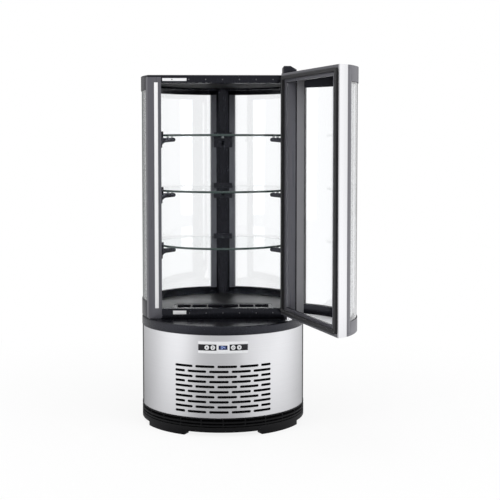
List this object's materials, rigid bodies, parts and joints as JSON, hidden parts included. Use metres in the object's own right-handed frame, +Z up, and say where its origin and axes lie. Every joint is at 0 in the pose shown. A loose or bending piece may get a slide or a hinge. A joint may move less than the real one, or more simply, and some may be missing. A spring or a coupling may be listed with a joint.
{
  "type": "refrigerated display case",
  "caption": "Round free-standing refrigerated display case: slotted steel base with cooling unit, glazed cabin with round glass shelves, and a D-shaped curved glass door.",
  "frame": {"origin": "on the axis of the round body, on the floor that the feet stand on", "axes": "+Z up, -Y towards the person who opens the door, +X to that person's right, where the door is hinged"},
  "size_m": [0.5949, 0.752, 1.032],
  "materials": {
    "black_plastic": "fine moulded grain",
    "frame_black": "satin black extruded profile",
    "ceiling_dark": "satin",
    "brushed_steel": "brushed",
    "black_sheet": "satin black",
    "clear_glass": "clear",
    "shelf_glass": "clear with ground edge",
    "spacer_black": "matte",
    "bright_aluminium": "satin anodised",
    "plated_steel": "plated",
    "black_rubber": "matte",
    "clear_pad": "translucent",
    "silver_bezel": "satin",
    "black_fascia": "gloss",
    "blue_display": "gloss",
    "white_button": "satin",
    "white_lining": "smooth",
    "compressor_black": "gloss black",
    "coil_aluminium": "bare fins",
    "motor_grey": "satin",
    "fan_plastic": "smooth",
    "copper": "bare copper",
    "pan_plastic": "smooth"
  },
  "bodies": {
    "cabinet": {"air_grille": "black_plastic", "base_plate": "black_sheet", "bottom_hinge_bracket": "plated_steel", "bottom_rails": "frame_black", "ceiling_panel": "ceiling_dark", "collar": "black_plastic", "compressor": "compressor_black", "compressor_mounts": "black_rubber", "condenser_coil": "coil_aluminium", "condenser_fan_motor": "motor_grey", "condenser_shroud": "black_sheet", "control_bezel": "silver_bezel", "control_fascia": "black_fascia", "controller_box": "black_plastic", "deck_plate": "brushed_steel", "display_window": "blue_display", "drain_pan": "pan_plastic", "evaporator_coil": "coil_aluminium", "evaporator_fan_motor": "motor_grey", "front_header": "frame_black", "front_sill": "frame_black", "front_wrap": "brushed_steel", "inner_panes": "clear_glass", "insulated_tub": "white_lining", "left_post": "frame_black", "mains_gland": "black_rubber", "outer_panes": "clear_glass", "pane_spacers": "spacer_black", "plinth_ring": "black_plastic", "rear_casing": "black_sheet", "rear_post": "frame_black", "refrigerant_pipes": "copper", "right_post": "frame_black", "roof_cap": "frame_black", "shelf_brackets": "black_plastic", "shelf_pads": "clear_pad", "strike_strips": "bright_aluminium", "top_hinge_bracket": "plated_steel", "top_hinge_cover": "black_plastic", "top_rails": "frame_black"},
    "door": {"door_bottom_cap": "frame_black", "door_floor_plate": "brushed_steel", "door_gasket": "black_rubber", "door_handle": "bright_aluminium", "door_hinge_stile": "frame_black", "door_inner_frame": "frame_black", "door_inner_glass": "clear_glass", "door_latch_stile": "frame_black", "door_outer_glass": "clear_glass", "door_spacer": "spacer_black", "door_top_cap": "frame_black"},
    "lower_shelf_body": {"lower_shelf": "shelf_glass"},
    "middle_shelf_body": {"middle_shelf": "shelf_glass"},
    "upper_shelf_body": {"upper_shelf": "shelf_glass"},
    "button_up_body": {"button_up": "white_button"},
    "button_down_body": {"button_down": "white_button"},
    "button_power_body": {"button_power": "white_button"},
    "button_lamp_body": {"button_lamp": "white_button"},
    "condenser_fan_body": {"condenser_fan": "fan_plastic"},
    "evaporator_fan_body": {"evaporator_fan": "fan_plastic"}
  },
  "joints": [
    {"name": "door_hinge", "type": "hinge", "parent": "cabinet", "child": "door", "pos_m": [0.18801, -0.138, 0.66], "axis": [0, 0, 1], "range_deg": [-108, 12]},
    {"name": "button_up_press", "type": "slide", "parent": "cabinet", "child": "button_up_body", "axis": [0.1874, 0.9823, 0], "range_m": [0, 0.001], "stiffness_N_per_m": 500},
    {"name": "button_lamp_press", "type": "slide", "parent": "cabinet", "child": "button_lamp_body", "axis": [0.1175, 0.9931, 0], "range_m": [0, 0.001], "stiffness_N_per_m": 500},
    {"name": "button_power_press", "type": "slide", "parent": "cabinet", "child": "button_power_body", "axis": [-0.1175, 0.9931, 0], "range_m": [0, 0.001], "stiffness_N_per_m": 500},
    {"name": "button_down_press", "type": "slide", "parent": "cabinet", "child": "button_down_body", "axis": [-0.1874, 0.9823, 0], "range_m": [0, 0.001], "stiffness_N_per_m": 500},
    {"name": "condenser_fan_spin", "type": "hinge", "parent": "cabinet", "child": "condenser_fan_body", "pos_m": [0, -0.139, 0.0925], "axis": [0, 1, 0], "continuous": true},
    {"name": "evaporator_fan_spin", "type": "hinge", "parent": "cabinet", "child": "evaporator_fan_body", "pos_m": [0, -0.037, 0.274], "axis": [0, 1, 0], "continuous": true},
    {"name": "lower_shelf_lift", "type": "slide", "parent": "cabinet", "child": "lower_shelf_body", "axis": [0, 0, 1], "range_m": [0, 0.035]},
    {"name": "middle_shelf_lift", "type": "slide", "parent": "cabinet", "child": "middle_shelf_body", "axis": [0, 0, 1], "range_m": [0, 0.035]},
    {"name": "upper_shelf_lift", "type": "slide", "parent": "cabinet", "child": "upper_shelf_body", "axis": [0, 0, 1], "range_m": [0, 0.035]}
  ]
}
